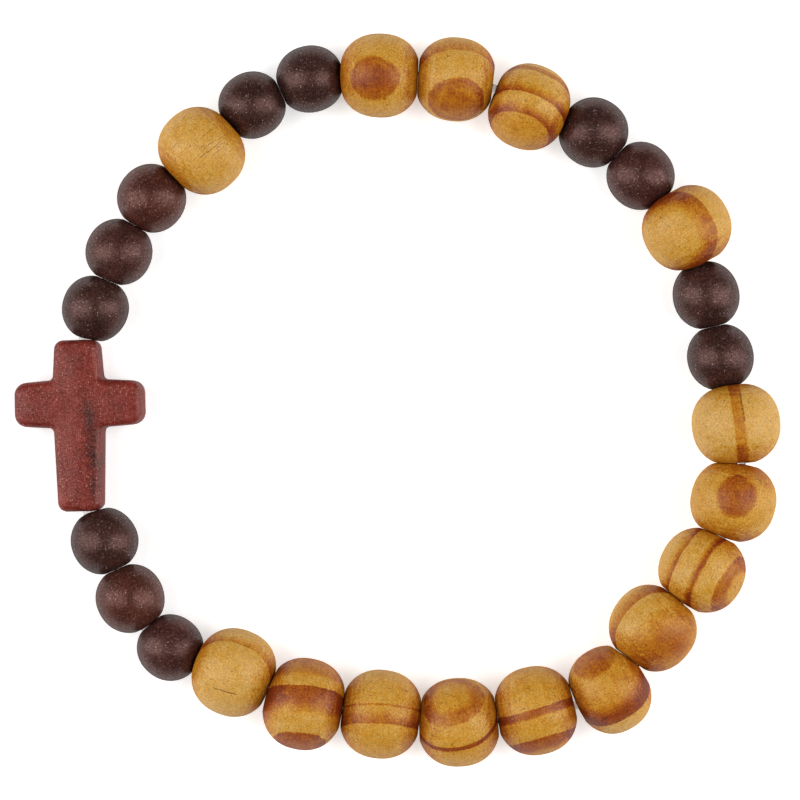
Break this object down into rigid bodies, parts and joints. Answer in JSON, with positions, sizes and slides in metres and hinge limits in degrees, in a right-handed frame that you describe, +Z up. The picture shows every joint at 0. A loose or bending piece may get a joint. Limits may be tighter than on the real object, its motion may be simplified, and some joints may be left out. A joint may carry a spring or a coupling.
{
  "type": "rosary bracelet",
  "caption": "Rosary bracelet of turned wood beads and small round stone beads with a stone cross, strung as one closed elastic loop that slips over the hand.",
  "frame": {"origin": "middle of the footprint of the opened loop, on the surface it lies on", "axes": "+Z up from the surface, +Y along the cross towards its short upper end, +X from the cross to the far side of the loop"},
  "size_m": [0.0696, 0.0666, 0.0084],
  "materials": {
    "wood": "satin lacquered softwood with brown growth rings",
    "dark_stone": "softly polished dark brown stone with fine pale specks",
    "red_stone": "softly polished terracotta red stone with fine pale specks",
    "clear_elastic": "smooth clear elastic thread"
  },
  "bodies": {
    "root": {"cross": "red_stone", "wood_bead_01": "wood", "wood_bead_02": "wood", "wood_bead_03": "wood", "wood_bead_04": "wood", "wood_bead_05": "wood", "wood_bead_06": "wood", "wood_bead_07": "wood", "wood_bead_08": "wood", "wood_bead_09": "wood", "wood_bead_10": "wood", "wood_bead_11": "wood", "wood_bead_12": "wood", "wood_bead_13": "wood", "wood_bead_14": "wood", "wood_bead_15": "wood", "stone_bead_01": "dark_stone", "stone_bead_02": "dark_stone", "stone_bead_03": "dark_stone", "stone_bead_04": "dark_stone", "stone_bead_05": "dark_stone", "stone_bead_06": "dark_stone", "stone_bead_07": "dark_stone", "stone_bead_08": "dark_stone", "stone_bead_09": "dark_stone", "stone_bead_10": "dark_stone", "stone_bead_11": "dark_stone", "stone_bead_12": "dark_stone", "elastic_thread": "clear_elastic"}
  },
  "joints": []
}
